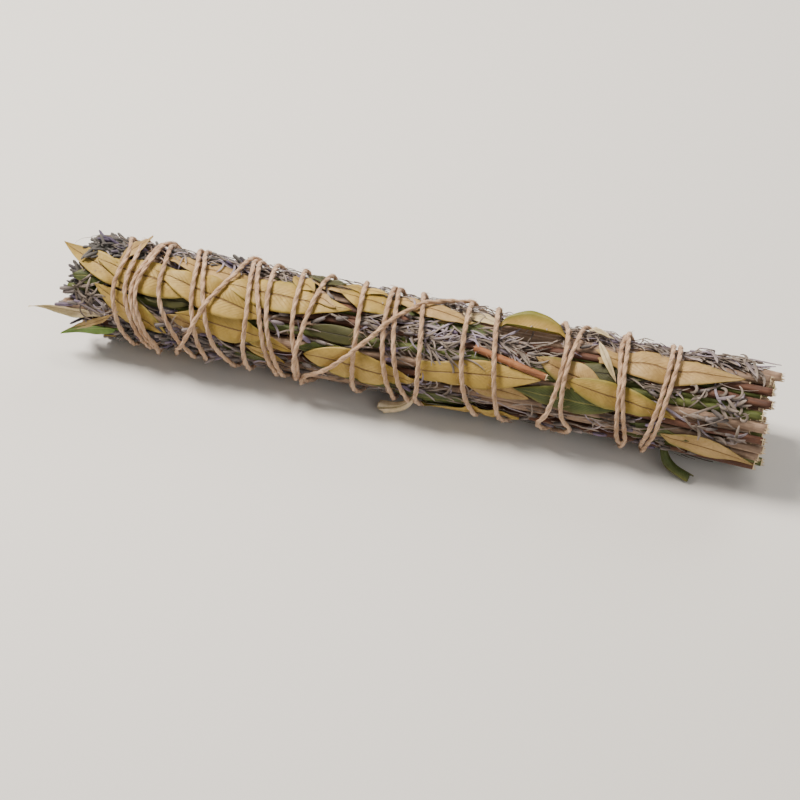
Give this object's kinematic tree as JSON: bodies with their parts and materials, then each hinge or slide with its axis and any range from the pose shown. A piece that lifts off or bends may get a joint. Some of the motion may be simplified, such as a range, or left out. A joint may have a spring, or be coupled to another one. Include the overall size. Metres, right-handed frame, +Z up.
{
  "type": "lavender smudge stick",
  "caption": "Bundle of dried lavender sprigs wrapped in long dried leaves and wound with jute twine, lying on its side; its herbs are lit and smoulder for scent.",
  "frame": {"origin": "middle of the whole stick's footprint, on the surface it lies on", "axes": "+X along the stick towards its cut stems, +Z up"},
  "size_m": [0.238, 0.0406, 0.0382],
  "materials": {
    "gold_leaf": "dry leaf, golden tan with a darker midrib",
    "olive_leaf": "dry leaf, dark olive",
    "green_leaf": "dry leaf, yellow-green",
    "pale_leaf": "dry leaf underside, cream",
    "grey_stem": "dry lavender stem, grey-tan with grey-mauve flowers",
    "red_stem": "dry stem, red-brown bark",
    "green_stem": "dry stem, olive-green",
    "twig": "bare twig, orange-brown bark",
    "twine": "two-ply jute twine, pinkish beige, a little hairy"
  },
  "bodies": {
    "root": {"leaf_back_a": "gold_leaf", "leaf_back_b": "olive_leaf", "leaf_back_c": "gold_leaf", "leaf_back_d": "gold_leaf", "leaf_bright_green": "green_leaf", "leaf_broad_gold": "gold_leaf", "leaf_curled_tip": "pale_leaf", "leaf_cut_end": "olive_leaf", "leaf_cut_gold": "gold_leaf", "leaf_dark_end": "olive_leaf", "leaf_dark_middle": "olive_leaf", "leaf_end_gold": "gold_leaf", "leaf_end_long": "gold_leaf", "leaf_end_low": "gold_leaf", "leaf_front_gold": "gold_leaf", "leaf_green_edged": "gold_leaf", "leaf_high_gold": "gold_leaf", "leaf_low_gold": "gold_leaf", "leaf_low_pale": "pale_leaf", "leaf_low_yellow": "gold_leaf", "leaf_over_gold": "gold_leaf", "leaf_ridge_folded": "green_leaf", "leaf_ridge_green": "green_leaf", "leaf_ridge_pale": "pale_leaf", "leaf_ridge_tan": "gold_leaf", "leaf_slanting_gold": "gold_leaf", "leaf_stray_green": "green_leaf", "leaf_stray_pale": "pale_leaf", "leaf_torn_gold": "gold_leaf", "leaf_touching": "green_leaf", "leaf_under_a": "gold_leaf", "leaf_under_b": "gold_leaf", "leaf_under_c": "gold_leaf", "leaf_under_front": "olive_leaf", "leaf_wide_gold": "gold_leaf", "sprig_back_a": "red_stem", "sprig_back_b": "grey_stem", "sprig_back_c": "green_stem", "sprig_dark": "red_stem", "sprig_green": "green_stem", "sprig_grey": "grey_stem", "sprig_inner_1": "grey_stem", "sprig_inner_2": "grey_stem", "sprig_inner_3": "grey_stem", "sprig_inner_4": "grey_stem", "sprig_inner_5": "grey_stem", "sprig_inner_6": "grey_stem", "sprig_inner_7": "grey_stem", "sprig_low_tan": "grey_stem", "sprig_red": "red_stem", "sprig_tan": "grey_stem", "sprig_top": "grey_stem", "sprig_top_back": "grey_stem", "sprig_under_a": "red_stem", "sprig_under_b": "green_stem", "sprig_under_c": "grey_stem", "sprig_upper_brown": "red_stem", "twig": "twig", "twine": "twine"}
  },
  "joints": []
}
